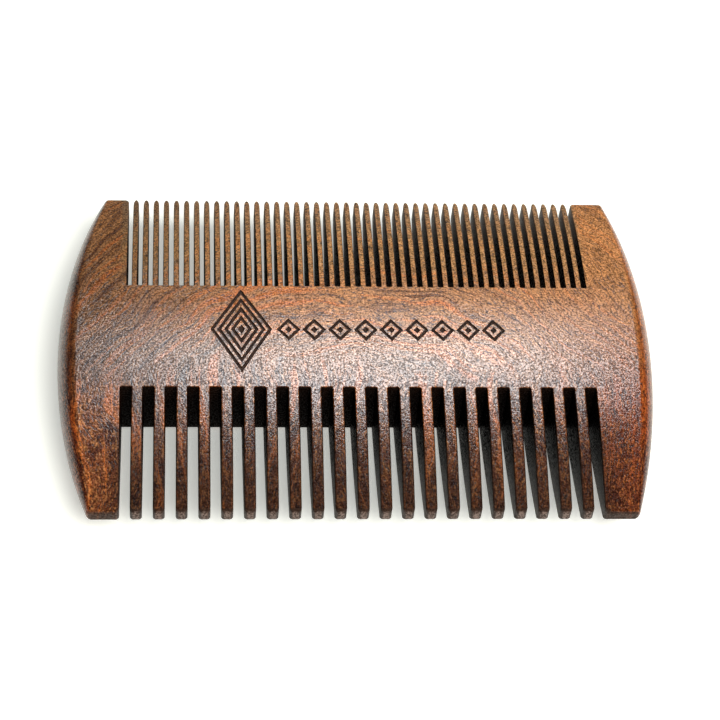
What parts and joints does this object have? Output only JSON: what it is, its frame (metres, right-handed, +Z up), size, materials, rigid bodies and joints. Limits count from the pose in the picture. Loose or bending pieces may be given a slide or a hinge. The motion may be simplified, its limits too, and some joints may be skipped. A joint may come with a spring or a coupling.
{
  "type": "double-sided beard comb",
  "caption": "Double-sided wooden beard comb: a thick lens-section spine with curved ends, wide-spaced coarse teeth on one side and closely spaced fine teeth on the other.",
  "frame": {"origin": "centre of the underside: the middle of the flat strip that the comb rests on", "axes": "+X along the length, +Y towards the fine teeth, -Y towards the coarse teeth, +Z up through the thickness"},
  "size_m": [0.107, 0.0696, 0.0137],
  "materials": {
    "spine_wood": "satin oiled reddish-brown hardwood with an engraved, darkened ornament",
    "guard_wood": "satin oiled reddish-brown hardwood with orange grain bands",
    "coarse_wood": "satin oiled reddish-brown hardwood, saw-cut slot walls",
    "fine_wood": "satin oiled golden-brown hardwood, saw-cut slot walls"
  },
  "bodies": {
    "root": {"spine": "spine_wood", "left_guard": "guard_wood", "right_guard": "guard_wood", "coarse_tooth_01": "coarse_wood", "coarse_tooth_02": "coarse_wood", "coarse_tooth_03": "coarse_wood", "coarse_tooth_04": "coarse_wood", "coarse_tooth_05": "coarse_wood", "coarse_tooth_06": "coarse_wood", "coarse_tooth_07": "coarse_wood", "coarse_tooth_08": "coarse_wood", "coarse_tooth_09": "coarse_wood", "coarse_tooth_10": "coarse_wood", "coarse_tooth_11": "coarse_wood", "coarse_tooth_12": "coarse_wood", "coarse_tooth_13": "coarse_wood", "coarse_tooth_14": "coarse_wood", "coarse_tooth_15": "coarse_wood", "coarse_tooth_16": "coarse_wood", "coarse_tooth_17": "coarse_wood", "coarse_tooth_18": "coarse_wood", "coarse_tooth_19": "coarse_wood", "coarse_tooth_20": "coarse_wood", "coarse_tooth_21": "coarse_wood", "fine_teeth_1": "fine_wood", "fine_teeth_2": "fine_wood", "fine_teeth_3": "fine_wood", "fine_teeth_4": "fine_wood"}
  },
  "joints": []
}
